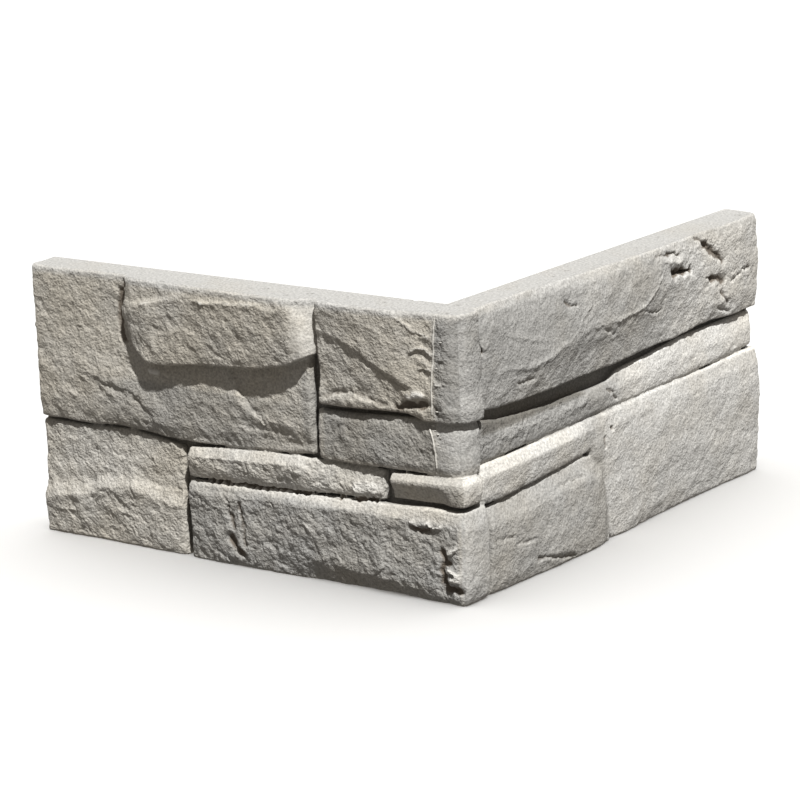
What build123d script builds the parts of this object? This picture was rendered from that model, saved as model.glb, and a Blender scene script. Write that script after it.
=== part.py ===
import os

from build123d import *

# Sizes in millimetres. The origin is the inner corner of the L at its bottom edge: the arris of the wall that
# the piece covers. The left wing runs along -X with its back at y = 0, the right wing along +Y with its back
# at x = 0, and +Z is up.
height = 100.0
leftReach = 173.6
rightReach = 186.5
backing = 10.0
endSlant = 1.4
endRound = 1.0
softTurn = 7.0
sharpTurn = 2.5
cornerRelief = 5.0
topSeam = 3.0
ledgeSeam = 3.8
noseSeam = 4.9
footSeam = 1.4

# Level joints between the courses, as shares of the height
highJoint = 0.64 * height
middleJoint = 0.478 * height
leftJoint = 0.436 * height
lowJoint = 0.34 * height
footJoint = 0.32 * height

# How deep a stone's back reaches into the backing, the rounding of its lower and upper rims, and how much of
# its stand-out and rounding is left where its ends fall back to a joint
rooting = 1.0
underRadius = 0.8
rimRadius = 1.3
endShare = 0.45


def face(points, rounding=1.0, root=backing - rooting):
    # The upright slice of a stone, from (depth, height) points, with its two outer rims rounded
    outline = [(root, points[0][1])] + points + [(root, points[-1][1])]
    shape = make_face(Polyline(*outline, close=True))
    for rim, radius in ((points[0], underRadius), (points[-1], rimRadius)):
        shape = fillet(shape.vertices().sort_by_distance(Vector(*rim))[0], rounding * radius)
    return shape


def leftPlane(along):
    return Plane(origin=(-along, 0, 0), x_dir=(0, -1, 0), z_dir=(-1, 0, 0))


def rightPlane(along):
    return Plane(origin=(0, along, 0), x_dir=(1, 0, 0), z_dir=(0, -1, 0))


def levels(bottom, top, slices, reach):
    # From shares to sizes: a slice is its place as a percentage of the wing's reach, then its face from the
    # bottom rim to the top rim as (stand-out in mm, percentage of the stone's height) points
    rise = (top - bottom) / 100
    return [
        (share * reach / 100, [(backing + relief, bottom + level * rise) for relief, level in points])
        for share, points in slices]


def endFace(points):
    # The end of a stone, where its face falls back to the joint
    eased = [(backing + endShare * (depth - backing), rise) for depth, rise in points]
    if points[0][1] > 0:
        eased[0] = (eased[0][0], eased[0][1] + underRadius * endShare)
    if points[-1][1] < height:
        eased[-1] = (eased[-1][0], eased[-1][1] - rimRadius * endShare)
    return face(eased, endShare)


def stone(plane, slices, endFirst=True, endLast=True):
    # A stone lofted through its slices, each a pair of distance along the wing and face points
    step = endRound if slices[0][0] > slices[-1][0] else -endRound
    faces = [plane(along) * face(points) for along, points in slices]
    if endFirst:
        along, points = slices[0]
        faces.insert(0, plane(along + step) * endFace(points))
    if endLast:
        along, points = slices[-1]
        faces.append(plane(along - step) * endFace(points))
    return loft(faces, ruled=True)


def leftStone(bottom, top, slices):
    return stone(leftPlane, levels(bottom, top, slices, leftReach))


def rightStone(bottom, top, slices):
    return stone(rightPlane, levels(bottom, top, slices, rightReach))


def cornerStone(bottom, top, slices, turn, seam):
    # A stone that wraps the outside corner: its left face, a quarter turn, and a return that ends at its seam
    # with the right wing's stone
    pivot = backing + cornerRelief - turn
    sized = levels(bottom, top, slices, leftReach)
    last = sized[-1][1]
    leftFace = stone(leftPlane, sized + [(-pivot, last)], endLast=False)
    rightReturn = stone(rightPlane, [(-pivot, last), (-seam, last)], endFirst=False)
    corner = revolve(leftPlane(-pivot) * face(last, root=pivot), Axis((pivot, -pivot, 0), (0, 0, 1)), 90)
    return [leftFace, corner, rightReturn]


# The flat back of even thickness, which shows at the bottom of every joint
plan = make_face(Polyline(
    (-leftReach, 0), (0, 0), (0, rightReach),
    (backing, rightReach - endSlant), (backing, -backing), (endSlant - leftReach, -backing), close=True))
back = extrude(plan, height)

# Left wing, top course: the large stone and the slab that stands out of it
topLeft = leftStone(leftJoint, height, [
    (99, [(3.2, 0), (3.8, 10), (4.2, 30), (4.4, 65), (4.0, 100)]),
    (93, [(3.4, 0), (4.2, 12), (4.8, 26), (4.0, 70), (4.0, 100)]),
    (86, [(3.4, -1), (4.2, 10), (5.0, 30), (4.2, 62), (3.6, 100)]),
    (79, [(3.4, 1), (4.4, 8), (5.2, 24), (3.8, 48), (3.2, 100)]),
    (72, [(3.4, 0), (4.6, 8), (4.8, 16), (3.4, 36), (3.2, 100)]),
    (65, [(3.2, -2), (4.8, 6), (5.0, 14), (3.8, 34), (4.0, 100)]),
    (55, [(3.6, -2), (4.6, 8), (5.0, 24), (4.4, 42), (4.0, 100)]),
    (46, [(3.6, -1), (4.4, 8), (5.4, 30), (4.6, 44), (4.0, 100)]),
    (40, [(3.4, 0), (3.2, 8), (5.0, 19), (4.0, 34), (4.0, 100)]),
    (33, [(3.4, 1), (2.8, 8), (4.6, 19), (4.2, 40), (4.0, 100)]),
    (28, [(3.2, 2), (2.8, 8), (4.2, 17), (4.4, 45), (4.0, 100)]),
])

raisedSlab = leftStone(highJoint, height, [
    (73.8, [(5.6, 54), (6.2, 64), (6.4, 74), (5.8, 78), (5.4, 100)]),
    (71.6, [(6.8, 32), (7.6, 50), (8.0, 72), (7.0, 78), (6.6, 100)]),
    (68.0, [(7.6, 16), (8.2, 40), (8.8, 75), (7.6, 81), (7.2, 100)]),
    (62.0, [(7.6, 17), (8.4, 40), (8.9, 80), (8.0, 85), (7.4, 100)]),
    (57.5, [(7.6, 20), (8.6, 50), (9.2, 85), (8.5, 89), (8.0, 100)]),
    (51.0, [(8.0, 23), (9.0, 50), (9.6, 85), (9.0, 90), (8.8, 100)]),
    (44.0, [(8.4, 24), (9.2, 50), (10.0, 86), (9.2, 90), (9.0, 100)]),
    (38.0, [(8.4, 27), (9.0, 50), (9.6, 88), (9.0, 92), (8.8, 100)]),
    (31.0, [(8.2, 35), (9.0, 55), (9.8, 84), (9.6, 92), (9.0, 100)]),
    (28.2, [(8.0, 42), (8.6, 60), (8.0, 80), (7.2, 90), (6.6, 100)]),
    (26.2, [(5.4, 46), (5.2, 62), (4.8, 78), (4.4, 90), (4.2, 100)]),
])

# Left wing, lower courses: the slim ledge and the two foot stones
slimLeft = leftStone(0.97 * footJoint, leftJoint, [
    (59.2, [(4.0, -10), (4.9, 12), (5.6, 50), (3.4, 74)]),
    (51.0, [(4.0, -11), (5.2, 12), (5.9, 58), (3.4, 86)]),
    (40.0, [(4.0, -13), (5.3, 12), (6.1, 68), (3.4, 94)]),
    (31.6, [(4.0, -4), (5.3, 20), (6.0, 74), (3.4, 98)]),
    (28.0, [(4.0, 0), (4.8, 20), (4.2, 56), (2.4, 95)]),
    (24.0, [(3.8, 6), (4.4, 24), (3.7, 60), (2.2, 95)]),
    (17.0, [(3.8, 10), (4.4, 26), (3.5, 60), (2.2, 96)]),
    (11.0, [(3.6, 12), (4.2, 28), (3.4, 60), (2.2, 96)]),
])

footLeft = leftStone(0, leftJoint, [
    (98.8, [(3.8, 0), (4.6, 18), (5.0, 30), (3.0, 40), (2.4, 97)]),
    (94.0, [(3.9, 0), (4.7, 20), (5.3, 34), (3.0, 44), (2.2, 97)]),
    (87.0, [(3.8, 0), (4.6, 20), (5.0, 38), (2.8, 48), (2.2, 97)]),
    (82.5, [(3.8, 0), (4.4, 24), (5.2, 47), (3.0, 56), (2.2, 98)]),
    (75.0, [(3.9, 0), (4.5, 26), (5.4, 51), (3.2, 60), (2.2, 99)]),
    (69.0, [(3.9, 0), (4.6, 24), (5.2, 45), (2.8, 56), (2.2, 96)]),
    (64.5, [(3.8, 0), (4.6, 24), (5.0, 42), (2.8, 54), (2.2, 94)]),
    (61.8, [(3.6, 0), (4.2, 24), (4.5, 42), (2.6, 54), (2.2, 92)]),
])

# Stones that wrap the outside corner, from the top course down
cornerTop = cornerStone(highJoint, height, [
    (25.0, [(4.8, -1), (5.4, 6), (5.0, 12), (5.6, 66), (6.7, 73), (6.8, 100)]),
    (19.5, [(5.2, -1), (5.9, 6), (5.3, 14), (6.2, 61), (7.2, 68), (7.2, 100)]),
    (15.0, [(5.4, 0), (6.0, 7), (5.5, 15), (6.4, 50), (7.3, 57), (7.6, 100)]),
    (9.0, [(5.0, 1), (5.5, 6), (5.2, 14), (6.1, 35), (7.0, 42), (7.4, 100)]),
    (4.0, [(4.8, 1), (5.2, 8), (5.2, 14), (5.6, 22), (6.4, 30), (5.8, 100)]),
    (0.0, [(5.6, -3), (6.2, 8), (5.8, 16), (5.4, 30), (5.2, 44), (4.6, 100)]),
], softTurn, topSeam)

cornerLedge = cornerStone(leftJoint, highJoint, [
    (25.8, [(3.6, 1), (4.0, 12), (3.8, 74), (2.8, 87)]),
    (17.5, [(4.0, 0), (4.5, 12), (4.2, 76), (3.0, 89)]),
    (9.0, [(4.2, 3), (4.7, 14), (4.3, 78), (3.2, 93)]),
    (4.0, [(4.2, 4), (4.9, 16), (4.4, 72), (3.2, 95)]),
], softTurn, ledgeSeam)

cornerNose = cornerStone(lowJoint, 0.45 * height, [
    (8.6, [(2.8, -3), (3.6, 22), (5.4, 52), (5.2, 62), (3.6, 80)]),
    (4.6, [(2.8, 0), (3.8, 22), (6.0, 58), (5.8, 68), (4.0, 85)]),
    (-3.0, [(3.2, 4), (4.2, 22), (6.2, 60), (6.0, 72), (4.0, 90)]),
    (-5.6, [(5.2, 3), (5.8, 22), (6.2, 58), (6.0, 74), (4.4, 91)]),
], sharpTurn, noseSeam)

footCorner = cornerStone(0, footJoint, [
    (59.2, [(4.4, 0), (4.8, 10), (5.2, 24), (5.1, 78), (3.4, 89)]),
    (53.0, [(4.5, 0), (5.0, 12), (5.6, 24), (5.7, 77), (3.7, 90)]),
    (46.0, [(4.8, 0), (5.4, 10), (6.0, 24), (6.1, 79), (4.0, 91)]),
    (38.0, [(4.8, 0), (5.4, 14), (6.0, 26), (6.1, 81), (4.0, 93)]),
    (31.0, [(4.4, 0), (5.4, 12), (6.2, 25), (6.1, 82), (4.0, 94)]),
    (26.0, [(3.0, 0), (4.4, 13), (6.2, 25), (6.1, 83), (4.0, 95)]),
    (18.0, [(2.8, 0), (4.4, 11), (6.2, 20), (6.1, 85), (4.0, 98)]),
    (10.0, [(2.8, 0), (4.6, 10), (6.2, 18), (6.2, 85), (4.0, 99)]),
    (4.0, [(3.2, 0), (5.2, 9), (6.0, 18), (6.0, 84), (4.0, 100)]),
    (0.0, [(4.2, 0), (5.2, 7), (5.8, 22), (5.6, 84), (4.4, 102)]),
], sharpTurn, footSeam)

# Right wing, from the top course down
topRight = rightStone(highJoint, height, [
    (-0.6, [(3.6, 3), (4.4, 20), (4.8, 45), (4.4, 78), (3.4, 92), (2.0, 100)]),
    (4.0, [(4.2, 0), (5.2, 15), (5.6, 36), (4.8, 78), (3.6, 92), (2.0, 100)]),
    (10.0, [(5.0, -1), (6.0, 14), (6.8, 32), (5.0, 76), (3.6, 91), (2.0, 100)]),
    (16.0, [(5.2, -1), (6.4, 14), (7.6, 29), (5.4, 74), (3.8, 91), (2.0, 100)]),
    (23.0, [(5.2, -1), (6.5, 18), (7.8, 36), (6.2, 72), (4.6, 91), (2.6, 100)]),
    (29.0, [(5.2, -1), (6.5, 22), (8.0, 43), (7.4, 66), (5.8, 90), (3.8, 100)]),
    (35.0, [(5.0, -1), (6.3, 24), (7.8, 46), (7.6, 72), (6.4, 91), (4.2, 100)]),
    (44.0, [(4.8, -2), (6.1, 24), (7.6, 43), (7.2, 78), (6.4, 92), (4.8, 100)]),
    (53.0, [(4.8, 0), (6.0, 24), (7.4, 47), (7.4, 78), (6.8, 92), (5.4, 100)]),
    (59.0, [(4.8, 1), (5.8, 24), (7.6, 62), (7.4, 80), (6.8, 93), (5.4, 100)]),
    (67.0, [(4.4, 0), (5.2, 20), (6.8, 60), (7.0, 80), (6.6, 93), (5.2, 100)]),
    (76.0, [(4.4, 4), (5.6, 20), (5.8, 50), (5.4, 78), (5.0, 93), (4.2, 100)]),
    (83.0, [(4.4, 3), (6.2, 20), (6.8, 55), (6.8, 80), (6.6, 93), (5.6, 100)]),
    (91.0, [(4.4, 1), (6.0, 20), (6.5, 50), (6.6, 80), (6.4, 93), (5.4, 100)]),
    (98.6, [(4.2, 1), (5.2, 20), (5.6, 50), (5.4, 80), (5.2, 93), (4.0, 100)]),
])

ledgeRight = rightStone(middleJoint, highJoint, [
    (-1.0, [(3.4, -5), (3.8, 8), (4.0, 40), (2.8, 84)]),
    (5.0, [(3.6, -5), (4.0, 8), (4.2, 36), (2.6, 72)]),
    (16.0, [(3.4, -4), (3.8, 8), (4.0, 34), (2.6, 63)]),
    (27.0, [(3.4, -4), (3.7, 8), (3.8, 34), (2.4, 60)]),
    (39.0, [(3.3, -1), (3.6, 10), (3.8, 32), (2.4, 56)]),
    (43.0, [(3.2, -1), (3.5, 10), (3.6, 34), (2.4, 58)]),
    (46.5, [(3.0, -1), (3.3, 10), (3.5, 40), (2.4, 76)]),
    (58.0, [(3.0, 0), (3.3, 12), (3.6, 44), (2.6, 82)]),
    (70.0, [(3.2, 2), (3.6, 14), (3.8, 50), (2.8, 94)]),
    (88.0, [(3.3, 5), (4.0, 16), (4.0, 48), (2.6, 93)]),
    (97.4, [(3.0, 10), (3.6, 20), (3.6, 52), (2.5, 94)]),
])

slimRight = rightStone(lowJoint, middleJoint, [
    (-1.6, [(4.0, -12), (4.5, 6), (5.0, 56), (3.4, 86)]),
    (5.0, [(4.4, -12), (5.0, 6), (5.8, 60), (3.6, 88)]),
    (16.0, [(4.4, -5), (5.0, 12), (5.9, 62), (3.6, 89)]),
    (27.0, [(4.2, 3), (4.8, 18), (5.6, 64), (3.4, 91)]),
    (36.0, [(3.8, 10), (4.4, 26), (5.0, 66), (3.4, 93)]),
])

footMiddle = rightStone(0, lowJoint, [
    (0.6, [(3.8, 0), (4.8, 12), (5.4, 40), (5.4, 70), (3.0, 91)]),
    (6.0, [(4.8, 0), (6.0, 12), (6.4, 40), (5.8, 72), (3.0, 93)]),
    (16.0, [(5.8, 0), (6.8, 14), (7.0, 40), (6.4, 74), (3.0, 96)]),
    (27.0, [(6.6, 0), (7.4, 16), (7.4, 40), (6.4, 76), (3.0, 99)]),
    (33.0, [(6.8, 0), (7.6, 18), (7.6, 40), (6.8, 78), (3.2, 101)]),
    (38.0, [(6.2, 0), (6.8, 18), (6.8, 40), (6.0, 70), (3.2, 94)]),
    (40.6, [(5.2, 0), (5.4, 14), (5.2, 34), (4.2, 58), (3.0, 78)]),
])

footRight = rightStone(0, middleJoint, [
    (35.0, [(3.0, 76), (4.0, 80), (4.8, 84), (4.7, 88), (4.3, 92), (3.4, 98)]),
    (38.5, [(3.0, 40), (4.2, 54), (5.0, 68), (5.2, 80), (4.6, 90), (3.4, 98)]),
    (42.0, [(4.2, 0), (4.8, 12), (5.2, 44), (5.4, 74), (4.8, 88), (3.6, 98)]),
    (46.0, [(5.2, 0), (5.6, 12), (5.8, 40), (5.8, 72), (5.1, 88), (3.6, 98)]),
    (51.0, [(4.4, 0), (5.5, 10), (6.0, 40), (6.0, 72), (5.2, 88), (3.4, 98)]),
    (58.0, [(3.6, 0), (5.2, 12), (6.0, 40), (5.9, 70), (5.0, 87), (3.4, 99)]),
    (65.0, [(3.6, 0), (4.9, 13), (5.7, 42), (5.7, 70), (4.9, 87), (3.4, 99)]),
    (77.0, [(3.9, 0), (4.9, 14), (5.7, 42), (5.7, 72), (5.0, 88), (3.4, 99)]),
    (86.0, [(4.1, 0), (5.0, 13), (5.7, 42), (5.8, 73), (5.1, 88), (3.4, 100)]),
    (92.0, [(5.0, 0), (5.5, 14), (5.9, 42), (6.0, 74), (5.3, 89), (3.6, 101)]),
    (98.6, [(4.6, 0), (5.1, 14), (5.6, 42), (6.0, 74), (5.4, 89), (4.0, 101)]),
])

stones = [topLeft, raisedSlab, slimLeft, footLeft, topRight, ledgeRight, slimRight, footMiddle, footRight]
stones += cornerTop + cornerLedge + cornerNose + footCorner
veneer = (back + stones).clean()
print("solids", len(veneer.solids()), "volume", round(veneer.volume), "size", veneer.bounding_box().size)

os.makedirs("parts", exist_ok=True)
export_step(veneer.solids()[0], "parts/corner_veneer.step")
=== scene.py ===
import math
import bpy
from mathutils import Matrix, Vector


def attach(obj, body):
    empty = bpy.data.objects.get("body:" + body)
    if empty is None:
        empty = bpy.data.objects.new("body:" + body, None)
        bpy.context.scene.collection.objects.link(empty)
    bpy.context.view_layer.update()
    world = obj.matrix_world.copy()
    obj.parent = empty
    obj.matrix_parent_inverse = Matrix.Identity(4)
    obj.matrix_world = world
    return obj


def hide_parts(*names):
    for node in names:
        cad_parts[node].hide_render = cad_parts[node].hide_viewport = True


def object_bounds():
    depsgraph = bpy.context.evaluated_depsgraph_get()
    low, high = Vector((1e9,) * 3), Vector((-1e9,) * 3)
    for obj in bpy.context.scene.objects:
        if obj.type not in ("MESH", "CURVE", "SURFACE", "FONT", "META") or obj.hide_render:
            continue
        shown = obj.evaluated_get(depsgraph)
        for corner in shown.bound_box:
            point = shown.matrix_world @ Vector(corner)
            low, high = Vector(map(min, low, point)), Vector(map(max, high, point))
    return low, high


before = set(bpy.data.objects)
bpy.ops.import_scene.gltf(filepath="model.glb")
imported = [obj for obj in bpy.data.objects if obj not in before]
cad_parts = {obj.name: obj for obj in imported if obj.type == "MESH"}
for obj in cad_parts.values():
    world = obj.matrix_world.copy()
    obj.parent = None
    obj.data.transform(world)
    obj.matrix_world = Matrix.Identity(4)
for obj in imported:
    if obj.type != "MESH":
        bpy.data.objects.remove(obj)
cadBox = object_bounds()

from types import SimpleNamespace

import bmesh
import bpy
import numpy as np
from mathutils import Matrix, Vector, noise
from mathutils.bvhtree import BVHTree

scene = bpy.context.scene
print("stage: frame loaded")


def hexColour(text):
    parts = [int(text[i:i + 2], 16) / 255 for i in (1, 3, 5)]
    return [c / 12.92 if c <= 0.04045 else ((c + 0.055) / 1.055) ** 2.4 for c in parts] + [1.0]


def addNode(tree, kind, settings=None, **inputs):
    # inputs are socket names with _ for a space, or i0, i1 for their place; a socket is linked, a value is set
    node = tree.nodes.new(kind)
    for name, value in (settings or {}).items():
        setattr(node, name, value)
    for name, value in inputs.items():
        socket = node.inputs[int(name[1:])] if name[1:].isdigit() else node.inputs[name.replace("_", " ")]
        if isinstance(value, bpy.types.NodeSocket):
            tree.links.new(value, socket)
        else:
            socket.default_value = value
    return node


def direction(azimuth, elevation):
    # azimuth turns from straight in front of the left wing's face towards the right wing's
    a, e = math.radians(azimuth), math.radians(elevation)
    return Vector((math.sin(a) * math.cos(e), -math.cos(a) * math.cos(e), math.sin(e)))


# the camera, where the photograph was taken from
photoView = {
    "azimuth": 35.72,
    "elevation": 14.17,
    "roll": -1.84,
    "place": (0.5955, -0.8568, 0.3308),
    "lens": 144.0,    # mm, on a 36 mm wide frame
}


def makeCamera(view):
    back = direction(view["azimuth"], view["elevation"])
    right = Vector((0, 0, 1)).cross(back).normalized()
    up = back.cross(right)
    roll = math.radians(view["roll"])
    axes = (right * math.cos(roll) + up * math.sin(roll), up * math.cos(roll) - right * math.sin(roll), back)
    data = bpy.data.cameras.new("photoCamera")
    data.lens, data.sensor_width, data.clip_start = view["lens"], 36.0, 0.01
    camera = bpy.data.objects.new("photoCamera", data)
    camera.matrix_world = Matrix.Translation(view["place"]) @ Matrix(axes).transposed().to_4x4()
    scene.collection.objects.link(camera)
    scene.camera = camera


makeCamera(photoView)

# a key light from high on the right, a soft light behind, a pale room and a pale floor
studio = {
    "key": {"azimuth": 53.0, "elevation": 59.0, "softness": 2.0, "strength": 6.1, "colour": "#FFFEFC"},
    "behind": {"azimuth": 205.0, "elevation": 30.0, "softness": 25.0, "strength": 2.4, "colour": "#FFFFFF"},
    "above": {"azimuth": 0.0, "elevation": 90.0, "softness": 100.0, "strength": 3.3, "colour": "#FFFFFF"},
    "roomColour": "#FFF8F0", "roomStrength": 0.24,
    "floorColour": "#F4F4F3", "floorSize": 8.0,
}


def makeSun(name, light, receivers):
    data = bpy.data.lights.new(name, "SUN")
    data.angle, data.energy = math.radians(light["softness"]), light["strength"]
    data.color = hexColour(light["colour"])[:3]
    sun = bpy.data.objects.new(name, data)
    sun.rotation_euler = direction(light["azimuth"], light["elevation"]).to_track_quat("Z", "Y").to_euler()
    scene.collection.objects.link(sun)
    lit = bpy.data.collections.new(name)
    for receiver in receivers:
        lit.objects.link(receiver)
    sun.light_linking.receiver_collection = lit


def makeStudio(s):
    h = s["floorSize"] / 2
    mesh = bpy.data.meshes.new("floor")
    mesh.from_pydata([(-h, -h, 0), (h, -h, 0), (h, h, 0), (-h, h, 0)], [], [(0, 1, 2, 3)])
    paint = bpy.data.materials.new("palePaint")
    paint.use_nodes = True
    shader = paint.node_tree.nodes["Principled BSDF"]
    shader.inputs["Base Color"].default_value = hexColour(s["floorColour"])
    shader.inputs["Roughness"].default_value = 0.9
    mesh.materials.append(paint)
    floor = bpy.data.objects.new("floor", mesh)
    scene.collection.objects.link(floor)
    floor.visible_diffuse = False    # the undersides stay as dark as in the photograph
    makeSun("above", s["above"], [floor])
    world = bpy.data.worlds.new("paleRoom")
    world.use_nodes = True
    shader = world.node_tree.nodes["Background"]
    shader.inputs["Color"].default_value = hexColour(s["roomColour"])
    shader.inputs["Strength"].default_value = s["roomStrength"]
    scene.world = world


makeStudio(studio)
scene.view_settings.view_transform = "Standard"
print("stage: camera, floor and light")

# cast concrete, from a rubber mould: dry, sandy and matt, with pigment that clouds from warm sand to cool grey
concrete = {
    "warm": "#A8A399", "cool": "#ABAAA7", "hollow": "#5C5349", "worn": "#D0CEC9",
    "cloud": 26.0,                  # mm across
    "drift": 0.3,                   # how far a cloud moves the tint towards warm or cool
    "sand": 0.9,                    # mm across, real sand of about 0.4 mm drawn twice as coarse so that it shows
    "dent": 2.2,                    # mm across
    "stroke": 1.25,                 # mm across, before the slant stretches it
    "spread": (0.3, 0.7),           # between which the noises' values mostly lie
    "speck": (0.76, 1.22),          # lightness of the darkest and of the palest sand
    "dull": (0.96, 0.84),           # and its roughness
    "shadedHollows": (0.34, 0.0, 0.9),     # heights between which the low parts are darkened as painted shade, and how much
    "rubbed": (0.62, 0.85, 0.8),    # heights between which the paste is worn off, and how much
    "sheen": 0.25,
    "sandHeight": 0.46, "dentHeight": 0.26, "strokeHeight": 0.15,    # mm
}


def castConcrete(c):
    paint = bpy.data.materials.new("castConcrete")
    paint.use_nodes = True
    tree = paint.node_tree
    shader = tree.nodes["Principled BSDF"]
    shader.inputs["Specular IOR Level"].default_value = c["sheen"]
    where = addNode(tree, "ShaderNodeTexCoord").outputs["Object"]
    pressed = addNode(tree, "ShaderNodeAttribute", {"attribute_name": "pressed"}).outputs["Vector"]
    split = addNode(tree, "ShaderNodeSeparateXYZ", Vector=pressed).outputs    # height, coolness and coarseness
    tone = addNode(tree, "ShaderNodeAttribute", {"attribute_name": "tone"}).outputs["Fac"]
    leaning = addNode(tree, "ShaderNodeAttribute", {"attribute_name": "leaning"}).outputs["Vector"]

    cloud = addNode(tree, "ShaderNodeTexNoise", Vector=where, Scale=1000 / c["cloud"], Detail=4.0, Roughness=0.6)
    sand = addNode(tree, "ShaderNodeTexNoise", Vector=where, Scale=1000 / c["sand"], Detail=1.5, Roughness=0.6)
    dent = addNode(tree, "ShaderNodeTexNoise", Vector=where, Scale=1000 / c["dent"], Detail=1.0, Roughness=0.5)
    stroke = addNode(tree, "ShaderNodeTexNoise", Vector=leaning, Scale=1 / c["stroke"], Detail=1.5, Roughness=0.6)

    # the tint: warm or cool by cloud, speckled by the sand, scaled by the lightness with its painted shadows and
    # highlights, darkened in the hollows as painted shade and pale where it is worn
    drift = addNode(
        tree, "ShaderNodeMapRange", Value=cloud.outputs["Fac"], i1=0.35, i2=0.65, i3=-c["drift"], i4=c["drift"])
    cool = addNode(
        tree, "ShaderNodeMath", {"operation": "ADD", "use_clamp": True}, i0=drift.outputs["Result"], i1=split["Y"])
    tint = addNode(
        tree, "ShaderNodeMix", {"data_type": "RGBA"},
        i0=cool.outputs["Value"], i6=hexColour(c["warm"]), i7=hexColour(c["cool"]))
    least, most = c["spread"]
    dark, pale = c["speck"]
    speck = addNode(
        tree, "ShaderNodeMapRange", Value=sand.outputs["Fac"], i1=least, i2=most, i3=dark, i4=pale)
    shade = addNode(tree, "ShaderNodeMath", {"operation": "MULTIPLY"}, i0=speck.outputs["Result"], i1=tone)
    tint = addNode(
        tree, "ShaderNodeVectorMath", {"operation": "SCALE"}, i0=tint.outputs[2], Scale=shade.outputs["Value"])
    tint = tint.outputs["Vector"]
    # the texture's low parts take the hollow colour as painted shade, and its high parts take the worn colour as
    # wear
    for colour, (start, end, share) in ((c["hollow"], c["shadedHollows"]), (c["worn"], c["rubbed"])):
        here = addNode(tree, "ShaderNodeMapRange", Value=split["X"], i1=start, i2=end, i3=0.0, i4=share)
        tint = addNode(
            tree, "ShaderNodeMix", {"data_type": "RGBA"}, i0=here.outputs["Result"], i6=tint, i7=hexColour(colour))
        tint = tint.outputs[2]
    tree.links.new(tint, shader.inputs["Base Color"])
    rough, smooth = c["dull"]
    dull = addNode(
        tree, "ShaderNodeMapRange", Value=sand.outputs["Fac"], i1=least, i2=most, i3=rough, i4=smooth)
    tree.links.new(dull.outputs["Result"], shader.inputs["Roughness"])

    # the fine relief, in metres, which gives the faces their dry, gritty look
    rise = None
    for layer, high in ((sand, "sandHeight"), (dent, "dentHeight"), (stroke, "strokeHeight")):
        step = addNode(tree, "ShaderNodeMath", {"operation": "MULTIPLY"}, i0=layer.outputs["Fac"], i1=c[high] / 1000)
        if rise:
            step = addNode(
                tree, "ShaderNodeMath", {"operation": "ADD"}, i0=rise.outputs["Value"], i1=step.outputs["Value"])
        rise = step
    rise = addNode(tree, "ShaderNodeMath", {"operation": "MULTIPLY"}, i0=rise.outputs["Value"], i1=split["Z"])
    relief = addNode(tree, "ShaderNodeBump", Strength=1.0, Distance=1.0, Height=rise.outputs["Value"])
    tree.links.new(relief.outputs["Normal"], shader.inputs["Normal"])
    return paint


concrete["paint"] = castConcrete(concrete)

# the thin fins of concrete where the mould's two halves meet, with the crumbs of paste beside them
flash = {
    "fins": [
        [(4.8, 98.6), (4.3, 88), (3.7, 81), (3.6, 74), (3.7, 69), (3.5, 65)],
        [(1.4, 60.2), (2.6, 58.4), (3.3, 56), (4.0, 51.5), (4.2, 46.4)],
    ],
    "follow": 0.8,    # mm between the points where a fin is laid on the face
    "Step": 0.5, "Thickness": 0.34, "Waver": 0.3, "Crumb step": 1.3, "Crumb size": 0.5, "Crumb drift": 3.0,    # mm
    "waves": 420.0,         # per metre
    "swell": (0.6, 1.25),   # a fin's thickness along its length, as shares
    "drift": ((0.0, 0.1, -0.5), (1.0, 0.2, 0.5)),    # a crumb's least and most drift, as shares
    "shape": ((0.1, 0.2, 0.1), (1.9, 0.9, 0.6)),     # and its least and most size
    "pressed": (0.74, 0.4, 0.4),    # height, coolness and coarseness, as the paint reads them
    "seed": 4,
}


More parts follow.
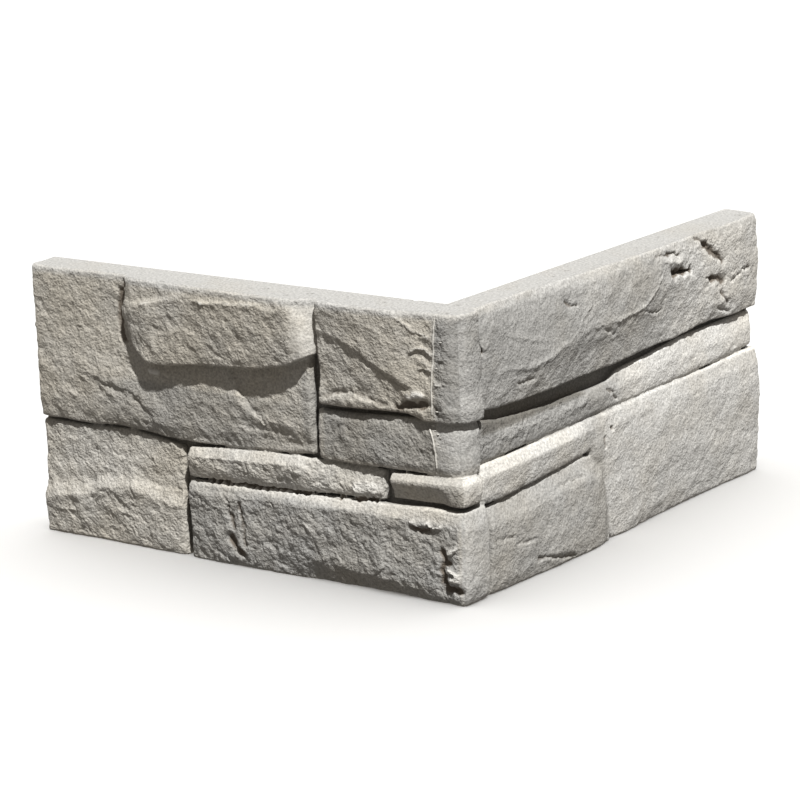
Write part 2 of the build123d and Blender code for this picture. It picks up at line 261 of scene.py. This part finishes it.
def flashTree(f, paint):
    tree = bpy.data.node_groups.new("mouldFlash", "GeometryNodeTree")
    tree.is_modifier = True
    tree.interface.new_socket("Geometry", in_out="INPUT", socket_type="NodeSocketGeometry")
    for name in ("Step", "Thickness", "Waver", "Crumb step", "Crumb size", "Crumb drift"):
        tree.interface.new_socket(name, in_out="INPUT", socket_type="NodeSocketFloat")
    tree.interface.new_socket("Geometry", in_out="OUTPUT", socket_type="NodeSocketGeometry")
    given = addNode(tree, "NodeGroupInput").outputs
    curve = addNode(tree, "GeometryNodeMeshToCurve", Mesh=given["Geometry"]).outputs["Curve"]

    # the fin: a thin tube that wavers and swells
    fine = addNode(tree, "GeometryNodeResampleCurve", {"mode": "LENGTH"}, Curve=curve, Length=given["Step"])
    waver = addNode(tree, "ShaderNodeTexNoise", Scale=f["waves"], Detail=2.0)
    thin, thick = f["swell"]
    swell = addNode(tree, "ShaderNodeMapRange", Value=waver.outputs["Fac"], i1=0.3, i2=0.7, i3=thin, i4=thick)
    waver = addNode(
        tree, "ShaderNodeVectorMath", {"operation": "SUBTRACT"}, i0=waver.outputs["Color"], i1=(0.5, 0.5, 0.5))
    waver = addNode(
        tree, "ShaderNodeVectorMath", {"operation": "SCALE"}, i0=waver.outputs["Vector"], Scale=given["Waver"])
    fin = addNode(tree, "GeometryNodeSetPosition", Geometry=fine.outputs["Curve"], Offset=waver.outputs["Vector"])
    fin = addNode(
        tree, "GeometryNodeSetCurveRadius", Curve=fin.outputs["Geometry"], Radius=swell.outputs["Result"])
    ring = addNode(tree, "GeometryNodeCurvePrimitiveCircle", Resolution=8, Radius=given["Thickness"])
    fin = addNode(
        tree, "GeometryNodeCurveToMesh",
        Curve=fin.outputs["Curve"], Profile_Curve=ring.outputs["Curve"], Fill_Caps=True)

    # the crumbs: flattened balls that lie to the right of the fin, half sunk in the face
    coarse = addNode(
        tree, "GeometryNodeResampleCurve", {"mode": "LENGTH"}, Curve=curve, Length=given["Crumb step"])
    least, most = f["drift"]
    drift = addNode(
        tree, "FunctionNodeRandomValue", {"data_type": "FLOAT_VECTOR"}, i0=least, i1=most, Seed=f["seed"])
    drift = addNode(
        tree, "ShaderNodeVectorMath", {"operation": "SCALE"}, i0=drift.outputs[0], Scale=given["Crumb drift"])
    spots = addNode(tree, "GeometryNodeCurveToPoints", {"mode": "EVALUATED"}, Curve=coarse.outputs["Curve"])
    spots = addNode(
        tree, "GeometryNodeSetPosition", Geometry=spots.outputs["Points"], Offset=drift.outputs["Vector"])
    crumb = addNode(tree, "GeometryNodeMeshIcoSphere", Radius=given["Crumb size"], Subdivisions=2)
    least, most = f["shape"]
    shape = addNode(
        tree, "FunctionNodeRandomValue", {"data_type": "FLOAT_VECTOR"}, i0=least, i1=most, Seed=f["seed"] + 1)
    crumbs = addNode(
        tree, "GeometryNodeInstanceOnPoints",
        Points=spots.outputs["Geometry"], Instance=crumb.outputs["Mesh"], Scale=shape.outputs[0])

    both = addNode(tree, "GeometryNodeJoinGeometry")
    for part in (fin.outputs["Mesh"], crumbs.outputs["Instances"]):
        tree.links.new(part, both.inputs["Geometry"])
    real = addNode(tree, "GeometryNodeRealizeInstances", Geometry=both.outputs["Geometry"])
    painted = addNode(tree, "GeometryNodeSetMaterial", Geometry=real.outputs["Geometry"], Material=paint)
    addNode(tree, "NodeGroupOutput", i0=painted.outputs["Geometry"])
    return tree


def makeFlash(f, body, paint):
    # a fin lies on the left wing's face, found by looking at the face from the front
    face = BVHTree.FromObject(body, bpy.context.evaluated_depsgraph_get())
    points, edges = [], []
    for fin in f["fins"]:
        start = len(points)
        for (x0, z0), (x1, z1) in zip(fin, fin[1:]):
            count = max(1, round(math.hypot(x1 - x0, z1 - z0) / f["follow"]))
            for k in range(count):
                x, z = (x0 + (x1 - x0) * k / count) / 1000, (z0 + (z1 - z0) * k / count) / 1000
                points.append(face.ray_cast(Vector((x, -0.1, z)), Vector((0, 1, 0)))[0])
        edges += [(k, k + 1) for k in range(start, len(points) - 1)]
    mesh = bpy.data.meshes.new("mouldFlash")
    mesh.from_pydata(points, edges, [])
    seam = bpy.data.objects.new("mouldFlash", mesh)
    scene.collection.objects.link(seam)
    modifier = seam.modifiers.new("flash", "NODES")
    modifier.node_group = flashTree(f, paint)
    for item in modifier.node_group.interface.items_tree:
        if item.in_out == "INPUT" and item.name in f:
            modifier[item.identifier] = f[item.name] / 1000
    seam.data = bpy.data.meshes.new_from_object(seam.evaluated_get(bpy.context.evaluated_depsgraph_get()))
    seam.modifiers.clear()
    count = len(seam.data.vertices)
    keepPoints(seam.data, "pressed", np.tile(f["pressed"], (count, 1)))
    keepPoints(seam.data, "leaning", readPoints(seam.data, "co") * 1000)
    keepPoints(seam.data, "tone", np.ones(count))
    return seam


# the casting: the solid's form, with the split-stone texture of the mould pressed into its outer faces
casting = {
    "grid": 0.44,            # mm between surface points while the texture is worked
    "triangles": 188000,     # kept in the finished piece
    "backing": 10.0,         # mm, depth of the joints' floors
    "rising": (0.4, 1.8),    # mm over that floor between which a stone's texture sets in
    # the stone's roughness in layers: size and depth in mm, then the fractal's falloff, gap and octaves
    "sway": (20.0, 0.64, (0.9, 2.1, 2)),
    "dents": (4.4, 0.375, (0.55, 2.1, 3)),
    "crags": (6.0, 0.22, (0.8, 2.1, 2)),
    "crack": 0.12,           # how wide a crag's crack is, as a share of its swing
    "stretch": 1.3,          # how much longer than wide the dents are
    "lean": (52.0, 32.0),    # degrees, the dents' slope on the left wing and on the right
    "wander": (5.0, 1.5),    # mm, size and reach of the waves in that slope
    "rimmed": 0.5,           # how much of the roughness is lost on the stones' level rims
    "swelling": (3.0, 0.8),  # size in mm and share of the changes in a mark's width
    "fray": (1.6, 0.8),      # size and reach in mm of the jags at the edges of chips and cracks
    "tinted": 0.4,           # how much of the texture's height the tint follows, as painted shade in its low parts
    # air bubbles: radius in mm, depth as a share of it, and the ring's reach as a share of its square
    "pinholes": {"count": 150, "radius": (0.7, 1.3), "depth": 0.8, "ring": 2.2, "seed": 5},
    "bubbled": 0.6,          # how much of the bubbles' depth the tint follows, darkening them as painted shade
    "flatten": 0.22,         # mm, unevenness taken out of the back
    "flat": 0.9998,          # how squarely a face has to face along an axis to be left unsmoothed
    "crease": 60.0,          # degrees between faces that stay sharp
    "drag": 9.0,             # how much longer than high the screed's marks on the back are
    "backCool": 0.6,
    "shadedTop": 0.73,       # share of its lightness the smooth top keeps: painted shade, darkening the lit top
    "shaded": 0.5,           # and the joints' floors, darkened as painted shade and by dark paste
    "grit": (0.25, 0.75, 0.9),    # strength of the fine relief: everywhere, more on stone, more on the back
    "gritLimits": (0.35, 1.5),
    "seed": 7.0,
}

# the stones: wing, from and to along it, bottom and top, width of the
# change at its border, all in mm; then how rough, how light and how cool the stone is. a row covers the rows before
# it; some rows only darken a place that lies in shadow, as painted shadow, and two lighten a lit face, as painted
# highlight
stones = [
    ("left", -176, 4, 0, 100, 2, 1.0, 1.0, 0.1),
    # darker below the slab
    ("left", -140, -60, 42, 62, 14, 1.0, 0.78, 0.4),
    # painted highlight on the lit bevel at the slab's right end, which is smoother too
    ("left", -52, -44.5, 78, 99.5, 1.5, 0.2, 1.3, 0.4),
    # painted shadow at the right end of the top left stone, beside the corner stone
    ("left", -51.5, -44.5, 43, 74, 1.5, 1.0, 0.78, 0.4),
    ("left", 4.5, 20, 62, 100, 1, 0.8, 0.67, 0.8),
    ("left", 4.5, 9, 64, 99, 2, 1.3, 0.66, 0.8),
    ("left", -43, 4, 45, 62.5, 1, 1.1, 0.69, 0.5),
    ("left", 4, 20, 45, 62.5, 1, 0.6, 0.92, 0.9),
    ("left", -104, -16, 31, 44, 1, 1.3, 1.03, 0.5),
    ("left", -16, 20, 32, 46, 1, 0.7, 1.0, 0.5),
    ("left", -176, -105, 0, 43, 1, 1.15, 1.05, 0.3),
    # painted shadow along the top of the left foot stone, under the top left stone
    ("left", -170, -106, 38.5, 44, 2.5, 1.1, 0.86, 0.3),
    ("left", -105, 13, 0, 32, 1, 1.35, 0.73, 0.8),
    # painted highlight on the lit top band of the long foot stone
    ("left", -105, 20, 28, 33, 1, 0.7, 1.15, 0.6),
    # painted shade in the undercut along the bottom of the long foot stone
    ("left", -48, 9, -2, 5.5, 2.5, 1.35, 0.76, 0.6),
    ("left", 13.5, 20, 0, 32, 1, 0.4, 0.95, 0.9),
    ("right", -17, 190, 0, 100, 2, 0.6, 1.0, 0.8),
    ("right", -17, 62, 63, 100, 16, 0.85, 0.74, 1.0),
    ("right", -17, 70, 60, 73, 5, 0.85, 0.88, 1.0),
    ("right", 62, 118, 63, 100, 16, 0.75, 0.92, 0.9),
    # lighter towards the right wing's far end
    ("right", 118, 190, 63, 100, 16, 0.9, 1.28, 0.8),
    ("right", -17, 88, 47, 63, 12, 0.75, 0.72, 1.0),
    ("right", 88, 190, 47, 63, 12, 0.6, 1.52, 0.8),
    ("right", -17, -3.8, 46, 63, 1, 0.6, 0.86, 0.9),
    ("right", -2, 68, 51, 58, 2, 1.4, 0.72, 1.0),
    # painted shadow on the top of the second right course, under the top right stone
    ("right", -2, 64, 56, 64, 3, 1.2, 0.34, 0.2),
    ("right", -17, 62, 34, 47, 1, 0.6, 1.3, 0.7),
    ("right", -1, 74, 0, 33, 1, 0.8, 0.84, 0.7),
    ("right", 74, 190, 0, 47, 1, 0.75, 1.17, 0.9),
    ("left", -176, 20, 97.6, 101, 1, 0.8, 0.95, 0.8),
    ("right", -20, 190, 97.6, 101, 1, 0.8, 0.93, 0.8),
]

# marks that the mould leaves, in mm along each wing from the inner corner and up from the bed: wing, kind, width,
# how far they stand out (+) or cut in (-), and their path; a step sinks the side to the right of its path
marks = [
    ("left", "step", 4.0, -0.45, [(-149, 61.5), (-143.7, 59.9), (-137.7, 58), (-132.2, 56.4), (-127.2, 54.8)]),
    ("left", "step", 3.5, -0.6, [(-138.3, 59.1), (-129.1, 57.2), (-123.8, 53.1), (-119.5, 49.2)]),
    ("left", "step", 4.5, -1.2, [(-71.1, 55.6), (-74, 58.5), (-76.9, 61.7), (-78.9, 65)]),
    ("left", "line", 1.0, 0.8, [(-118.6, 66), (-115.4, 66.3)]),
    ("left", "line", 0.7, 0.4,
        [(-118.8, 91.3), (-112.8, 92.7), (-106.8, 94.2), (-98.5, 96.6), (-94.6, 95.6), (-90.2, 94.8)]),
    ("left", "line", 0.7, 0.35, [(-90.2, 94.8), (-84.5, 95), (-80.5, 95.9), (-74.8, 95.8), (-64.8, 96.6)]),
    ("left", "step", 3.0, -0.5, [(-59, 50.4), (-68.9, 51.2), (-76, 51.1)]),
    ("left", "line", 1.0, -0.45, [(-25.4, 82.9), (-21.4, 79.9), (-15.3, 76.8), (-9.3, 73.7), (-5.3, 71.5)]),
    ("left", "line", 0.9, -0.6,
        [(-42.4, 66.4), (-36.8, 68.5), (-30.5, 69.6), (-25.5, 68.9), (-20.2, 67.5), (-15.7, 66.3)]),
    ("left", "line", 0.6, 0.45, [(-11.2, 98.5), (-7.7, 96), (-3, 93.1), (2.2, 91.5)]),
    ("left", "line", 0.5, 0.6, [(-5.0, 85.8), (-2.5, 87.6), (0.6, 87.8), (3.2, 85.6)]),
    ("left", "line", 0.7, -0.35, [(-4.4, 84.9), (-1.8, 86.0), (0.8, 85.2)]),
    ("left", "line", 1.2, 0.45, [(-1.2, 83.2), (1.6, 82.4)]),
    ("left", "line", 0.45, 0.5, [(-1.9, 80.4), (0.2, 81.0), (2.8, 80.5)]),
    ("left", "line", 0.6, -0.4, [(-1.6, 79.2), (0.6, 79.8), (2.6, 79.0)]),
    ("left", "line", 0.4, 0.4, [(5.4, 84.3), (8.3, 84.9)]),
    ("left", "line", 0.4, 0.4, [(4.9, 76.2), (6.3, 75.9), (8.3, 76.5)]),
    ("left", "line", 1.3, -1.1, [(-129.2, 97), (-131.6, 93), (-132.4, 88), (-132.2, 82), (-131.0, 76)]),
    ("left", "line", 1.5, 0.9, [(-6.4, 70.6), (-3.5, 71.2), (-0.4, 71.4)]),
    ("left", "line", 1.5, -1.6, [(-10.4, 66.4), (-6.7, 67.4), (-3.7, 67.9), (0.4, 68.6)]),
    ("left", "line", 0.9, -1.6, [(5.4, 67.2), (5.6, 66.6)]),
    ("left", "line", 0.5, -1.4, [(-101.6, 29.1), (-74.7, 29.9), (-45.6, 31), (-30, 31.7), (-17, 32.4)]),
    ("left", "line", 2.6, 0.9, [(-29.9, 35.6), (-25.7, 36.5), (-21.5, 36)]),
    ("left", "line", 0.5, 0.35, [(-164.5, 10), (-160.7, 9.8), (-157.3, 9.9)]),
    ("left", "line", 0.5, 0.35, [(-136.7, 12.5), (-132, 11.6), (-128.3, 10.7)]),
    ("left", "line", 0.8, -1.0, [(-84.9, 21.2), (-83.7, 17.7), (-83, 13.8)]),
    ("left", "line", 0.9, -0.9, [(-80.3, 22.9), (-79.2, 18.3), (-78.6, 13.3), (-78, 8.6)]),
    ("left", "line", 1.7, -1.6, [(-84.3, 10.2), (-82.2, 7.6), (-79.6, 5.4)]),
    ("left", "line", 0.6, 0.8, [(-6.9, 27.4), (-3.7, 26.2), (0.1, 27.4), (2.5, 26.6), (5.7, 26.9)]),
    ("left", "line", 1.1, -1.0, [(-5.8, 25.2), (-2.5, 24.7), (0.8, 25.3)]),
    ("left", "line", 1.3, 0.9, [(9.0, 18.2), (11.2, 20.0)]),
    ("left", "line", 1.4, -1.4, [(6.0, 18.4), (7.0, 15.6), (8.4, 14.6)]),
    ("left", "line", 1.1, 0.9, [(7.4, 12.9), (9.6, 12.2), (11.4, 11.2)]),
    ("left", "line", 1.2, 0.9, [(9.8, 9.2), (12.2, 10.0)]),
    ("left", "line", 1.5, -1.9, [(6.2, 12.2), (6.8, 8.6), (8.6, 6.2), (11.6, 5.6)]),
    ("right", "line", 0.8, 0.32, [
        (16.8, 75.7), (22.9, 74.6), (34.2, 75.6), (41.9, 77.3), (51.6, 79.5), (62, 81), (71.2, 81.2), (81.2, 79.9)]),
    ("right", "line", 0.6, 0.42, [(81.2, 79.9), (91.4, 80.3), (99.7, 81.6), (105.3, 85.3), (111, 89.3)]),
    ("right", "line", 0.9, 0.35, [(52.4, 80.4), (57.1, 85.4), (62.4, 89)]),
    ("right", "line", 0.7, 0.25, [(9.6, 89.8), (19.8, 85.9), (35.2, 81.7)]),
    ("right", "line", 1.2, -3.2, [(119.6, 88.8), (123.4, 88.9), (127.6, 88.5), (132.2, 88.3)]),
    ("right", "line", 0.6, -0.8, [(114.8, 97.1), (119.7, 96.5), (123.9, 95)]),
    ("right", "line", 1.0, 0.6, [(113.6, 94.6), (119, 93.6), (124.6, 92.4)]),
    ("right", "line", 1.0, -0.9, [(138.8, 98.4), (142.4, 96.6), (146, 94.4)]),
    ("right", "line", 1.5, -1.4, [(144.4, 95), (149.4, 91.6), (155.2, 87.4)]),
    ("right", "line", 0.9, -1.0, [(144.4, 82.8), (149.4, 81.8)]),
    ("right", "line", 1.7, -1.4, [(149.6, 81.2), (153.6, 80.6), (156, 79)]),
    ("right", "line", 0.9, -1.0, [(155.4, 75.2), (157.6, 73.3), (159.9, 70.7)]),
    ("right", "line", 0.5, -0.7, [(161.6, 77.4), (165.6, 79), (169, 80)]),
    ("right", "line", 0.7, -0.7, [(154.4, 69.4), (158, 67.8), (162, 66.6)]),
    ("right", "line", 1.0, -0.7, [(107.3, 97.6), (112.2, 97.4), (116.4, 96)]),
    ("right", "line", 0.6, -0.8, [(169.7, 81.3), (172.7, 80.7), (176.5, 80.8)]),
    ("right", "line", 0.5, -0.8, [(48.3, 92.8), (50.2, 91), (54, 89.9)]),
    ("right", "line", 0.5, -0.5, [(18.2, 69.9), (22.5, 70), (26.9, 70.1)]),
    ("right", "line", 0.5, -0.5, [(72, 78.1), (75.9, 76.6), (79.2, 74.8)]),
    ("right", "line", 0.5, -0.6, [(99.8, 79), (105.3, 77.1), (112.3, 77.2)]),
    ("right", "line", 0.6, -0.8, [(79, 54.5), (82.3, 53), (84.9, 49.9)]),
    ("right", "line", 0.5, -0.5, [(3.2, 19.1), (7.5, 18.3), (12.4, 17.7)]),
    ("right", "line", 0.5, -0.5, [(15.4, 15.1), (21, 14), (26, 13.8)]),
    ("right", "line", 0.8, -0.7, [(27.9, 5.8), (33.7, 5.3), (41.3, 2.9), (51.1, 1.4)]),
    ("right", "line", 0.5, -0.5, [(43.6, 28.3), (50.8, 28.3), (58, 28.4)]),
    ("right", "line", 0.6, -0.9, [(79.2, 40.7), (79.4, 40.3)]),
    ("right", "line", 0.6, -0.9, [(74.4, 37.8), (74.3, 34.5)]),
    ("right", "line", 0.7, -1.4, [(-1.9, 88), (-1.4, 85)]),
    ("right", "line", 0.6, -0.8, [(-2.6, 96), (-2.4, 95)]),
]


def copyOfNode(name):
    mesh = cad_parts[name].data.copy()
    mesh.materials.clear()
    piece = bpy.data.objects.new("veneerCasting", mesh)
    scene.collection.objects.link(piece)
    work = bmesh.new()
    work.from_mesh(mesh)
    bmesh.ops.remove_doubles(work, verts=work.verts, dist=1e-6)
    work.to_mesh(mesh)
    work.free()
    return piece


def applied(piece, kind, **settings):
    modifier = piece.modifiers.new(kind.lower(), kind)
    for name, value in settings.items():
        setattr(modifier, name, value)
    graph = bpy.context.evaluated_depsgraph_get()
    mesh = bpy.data.meshes.new_from_object(piece.evaluated_get(graph))
    piece.modifiers.remove(modifier)
    old = piece.data
    piece.data = mesh
    bpy.data.meshes.remove(old)


def readPoints(mesh, what):
    values = np.empty(len(mesh.vertices) * 3, np.float32)
    mesh.vertices.foreach_get(what, values)
    return values.reshape(-1, 3).astype(np.float64)


def placePoints(mesh, points):
    mesh.vertices.foreach_set("co", points.astype(np.float32).ravel())
    mesh.update()


def ease(value, low, high):
    t = np.clip((value - low) / (high - low), 0, 1)
    return t * t * (3 - 2 * t)


def field(points, size, seed, kind=noise.noise, *more):
    # one noise value per point, for waves of the given size in mm
    shift = np.array((seed, seed * 1.7, seed * 2.3))
    return np.array([kind(p, *more) for p in (points / size + shift).tolist()])


def readWings(piece, c):
    # every point as its own wing has it, in mm: along the wing, up, and out from the back
    place, normal = readPoints(piece.data, "co") * 1000, readPoints(piece.data, "normal")
    onLeft = place[:, 0] + place[:, 1] < 0
    w = SimpleNamespace(place=place, normal=normal, onLeft=onLeft, up=place[:, 2])
    w.along = np.where(onLeft, place[:, 0], place[:, 1])
    w.depth = np.where(onLeft, -place[:, 1], place[:, 0])
    w.facing = np.where(onLeft, -normal[:, 1], normal[:, 0])
    low, high = c["rising"]
    w.stone = ease(w.depth, c["backing"] + low, c["backing"] + high) * ease(w.facing, -0.2, 0.45)
    w.back = ease(w.depth, 0.6, 0.2)
    w.top = ease(normal[:, 2], 0.8, 0.97) * ease(w.up, 98, 99)
    return w


def stoneLooks(w, c):
    looks = [np.ones(len(w.place)), np.ones(len(w.place)), np.zeros(len(w.place))]
    for wing, start, end, low, high, border, *look in stones:
        inside = ease(w.along, start - border, start + border) * ease(w.along, end + border, end - border)
        inside *= ease(w.up, low - 1, low + 1) * ease(w.up, high + 1, high - 1) * (w.onLeft == (wing == "left"))
        for value, kept in zip(look, looks):
            kept += inside * (value - kept)
    rough, tone, cool = looks
    rough *= 1 - c["rimmed"] * ease(np.abs(w.normal[:, 2]), 0.4, 0.85)
    return rough, tone, cool


def slanted(w, c):
    # the dents lean one way on the left wing and the other way on the right
    lean = np.radians(np.where(w.onLeft, -c["lean"][0], c["lean"][1]))
    level, turn = np.cos(lean), np.sin(lean)
    return np.stack([(w.along * level + w.up * turn) / c["stretch"], w.up * level - w.along * turn, w.depth], 1)


def stoneTexture(w, leaning, rough, c):
    outer = w.stone > 0.01
    place, leaned = w.place[outer], leaning[outer]
    size, reach = c["wander"]
    leaned[:, :2] += np.stack([field(place, size, c["seed"] + k) for k in (11, 13)], 1) * reach

    size, high, fractal = c["sway"]
    texture = high * field(place, size, c["seed"], noise.fractal, *fractal)
    size, high, fractal = c["dents"]
    texture += high * field(leaned, size, c["seed"] + 3, noise.fractal, *fractal)
    size, high, fractal = c["crags"]
    crag = np.abs(field(leaned, size, c["seed"] + 7, noise.fractal, *fractal))
    texture -= high * ease(crag, c["crack"], 0.0) * ease(rough[outer], 0.6, 1.4)

    shift = np.zeros(len(w.place))
    shift[outer] = texture
    return shift * (w.stone * rough)


def markDepth(along, up, kind, width, high, path, swelling):
    near = np.full(len(along), 1e9)
    side = np.zeros(len(along))
    for (a0, b0), (a1, b1) in zip(path, path[1:]):
        da, db = a1 - a0, b1 - b0
        length = math.hypot(da, db)
        t = np.clip(((along - a0) * da + (up - b0) * db) / length ** 2, 0, 1)
        pa, pb = along - a0 - t * da, up - b0 - t * db
        d = np.hypot(pa, pb)
        closer = d < near
        side = np.where(closer, (db * pa - da * pb) / length, side)
        near = np.minimum(near, d)
    reach = near / (width * (1 + swelling))
    if kind == "step":
        return high * np.where(side > 0, np.exp(-reach), np.exp(-(reach * 4) ** 2))
    return high * np.exp(-reach ** 2)


def pressMarks(w, shift, relief, c):
    size, share = c["swelling"]
    swelling = share * field(w.place, size, c["seed"] + 21)
    size, reach = c["fray"]
    along, up = (line + reach * field(w.place, size, c["seed"] + k) for line, k in ((w.along, 23), (w.up, 25)))
    for wing, kind, width, high, path in marks:
        reach = 4 * width + 1    # past this a mark is too shallow to matter
        box = (w.along > min(p[0] for p in path) - reach) & (w.along < max(p[0] for p in path) + reach)
        box &= (w.up > min(p[1] for p in path) - reach) & (w.up < max(p[1] for p in path) + reach)
        box &= (w.onLeft == (wing == "left")) & (w.depth > c["backing"] + 0.5)
        mark = markDepth(along[box], up[box], kind, width, high, path, swelling[box])
        mark *= ease(w.facing[box], 0, 0.5)
        shift[box] += mark
        relief[box] += mark * (kind == "line")


def pinholeDepth(points, count, radius, depth, ring, seed):
    # how deep each point lies in an air bubble, and which points ring the bubbles
    holes, rings = np.zeros(len(points)), np.zeros(len(points), bool)
    chance = np.random.default_rng(seed)
    for centre, reach in zip(points[chance.integers(len(points), size=count)], chance.uniform(*radius, count)):
        near = ((points - centre) ** 2).sum(1) / reach ** 2
        holes = np.maximum(holes, depth * reach * (1 - near))
        rings |= near < ring
    return holes, rings


def pressTexture(piece, c):
    w = readWings(piece, c)
    rough, tone, cool = stoneLooks(w, c)
    leaning = slanted(w, c)
    shift = stoneTexture(w, leaning, rough, c)
    relief = shift * c["tinted"]
    pressMarks(w, shift, relief, c)

    plain = (w.back > 0.9) | (w.top > 0.9)
    holes, rings = pinholeDepth(w.place[plain], **c["pinholes"])
    shift[plain] -= holes
    relief[plain] -= holes * c["bubbled"]

    low, high = (np.array(v) * 1000 for v in cadBox)
    placePoints(piece.data, np.clip(w.place + w.normal * shift[:, None], low, high) / 1000)

    # the joints' floors, but not where they meet the beds and the ends
    reach = np.where(w.onLeft, cadBox[0][0] * -1000, cadBox[1][1] * 1000)
    joint = ease(w.depth, c["backing"] - 1, c["backing"] - 0.3) * (1 - w.stone)
    joint *= ease(w.up, 0.5, 1.0) * ease(w.up, 99.5, 99)
    joint *= ease(reach - np.abs(w.along), 2, 4)

    # what the paint needs to know: height in the texture, coolness and coarseness; lightness; and the slant
    cool += w.top * (1 - cool) + w.back * (c["backCool"] - cool)
    tone = 1 + (tone - 1) * w.stone
    # the joints' floors are darkened: painted shade, and dark paste
    tone *= 1 + (c["shaded"] - 1) * joint
    # the top is darkened as painted shade
    tone *= 1 + (c["shadedTop"] - 1) * w.top
    least, onStone, onBack = c["grit"]
    coarse = least + onStone * w.stone * np.clip(rough, *c["gritLimits"]) + onBack * w.back
    screed = np.stack([w.along / c["drag"], w.up, w.depth], 1)
    keepPoints(piece.data, "pressed", np.stack([0.5 + relief * 0.5, cool, coarse], 1))
    keepPoints(piece.data, "leaning", leaning + w.back[:, None] * (screed - leaning))
    keepPoints(piece.data, "tone", tone)

    # the rings round the air bubbles aren't thinned, so that the back stays flat between them
    thinned = np.delete(np.arange(len(w.place)), np.flatnonzero(plain)[rings])
    piece.vertex_groups.new(name="thinned").add(thinned.tolist(), 1, "REPLACE")


def keepPoints(mesh, name, values):
    kind, slot = ("FLOAT", "value") if values.ndim == 1 else ("FLOAT_VECTOR", "vector")
    mesh.attributes.new(name, kind, "POINT").data.foreach_set(slot, values.astype(np.float32).ravel())


def flattenBack(piece, unevenness):
    points = readPoints(piece.data, "co")
    for axis, other, side in ((1, 0, -1), (0, 1, 1)):    # the left wing's back is at y = 0, the right's at x = 0
        near = (np.abs(points[:, axis]) < unevenness / 1000) & (points[:, other] * side > 0)
        points[near, axis] = 0
    placePoints(piece.data, points)


def shadeFaces(piece, flat, crease):
    # the flat back is left unsmoothed, because its faces are large
    piece.data.set_sharp_from_angle(angle=math.radians(crease))
    facing = np.empty(len(piece.data.polygons) * 3, np.float32)
    piece.data.polygons.foreach_get("normal", facing)
    piece.data.polygons.foreach_set("use_smooth", np.abs(facing.reshape(-1, 3)).max(1) < flat)


def makeCasting(c):
    piece = copyOfNode("corner_veneer")
    applied(piece, "REMESH", mode="VOXEL", voxel_size=c["grid"] / 1000)
    print("stage: casting meshed,", len(piece.data.vertices), "points")
    pressTexture(piece, c)
    applied(piece, "DECIMATE", ratio=c["triangles"] / (len(piece.data.polygons) * 2), vertex_group="thinned")
    piece.vertex_groups.clear()
    flattenBack(piece, c["flatten"])
    seam = makeFlash(flash, piece, concrete["paint"])
    piece.data.materials.clear()
    piece.data.materials.append(concrete["paint"])
    with bpy.context.temp_override(active_object=piece, selected_editable_objects=[piece, seam]):
        bpy.ops.object.join()
    shadeFaces(piece, c["flat"], c["crease"])
    placePoints(piece.data, np.clip(readPoints(piece.data, "co"), *(np.array(v) for v in cadBox)))
    print("stage: texture pressed,", len(piece.data.polygons), "faces")
    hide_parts("corner_veneer")
    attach(piece, "root")
    for light in ("key", "behind"):
        makeSun(light, studio[light], [piece])


makeCasting(casting)
